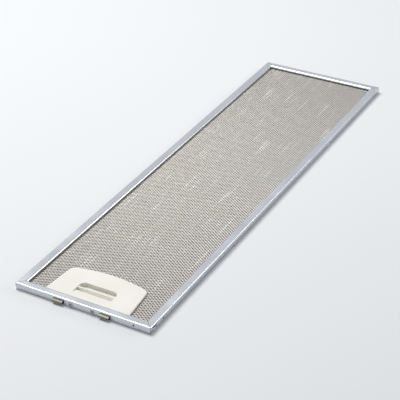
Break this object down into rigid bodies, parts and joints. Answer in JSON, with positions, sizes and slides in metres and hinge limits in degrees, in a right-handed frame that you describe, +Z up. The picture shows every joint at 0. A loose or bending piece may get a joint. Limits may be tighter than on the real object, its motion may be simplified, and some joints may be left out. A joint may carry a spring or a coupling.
{
  "type": "cooker hood filter",
  "caption": "Flat cooker hood grease filter: layers of expanded aluminium mesh in a mitred channel frame, with a finger-grip plate and sprung catches on one short edge",
  "frame": {"origin": "Centre of the frame's underside, on the plane that the filter rests on.", "axes": "+Z up out of the visible side, Y along the long sides, with the grip plate and spring catches at the -Y end, X across the width."},
  "size_m": [0.16, 0.5728, 0.008],
  "materials": {
    "frame": "satin",
    "mesh": "satin",
    "foil": "satin",
    "plate": "matte",
    "spring": "brushed",
    "rivet": "satin"
  },
  "bodies": {
    "root": {"frame": "frame", "corner_angle": "frame", "front_mesh": "mesh", "rear_mesh": "mesh", "inner_layer_1": "foil", "inner_layer_2": "foil", "inner_layer_3": "foil", "handle_plate": "plate", "catch_spring": "spring", "spring_rivets": "rivet"}
  },
  "joints": []
}
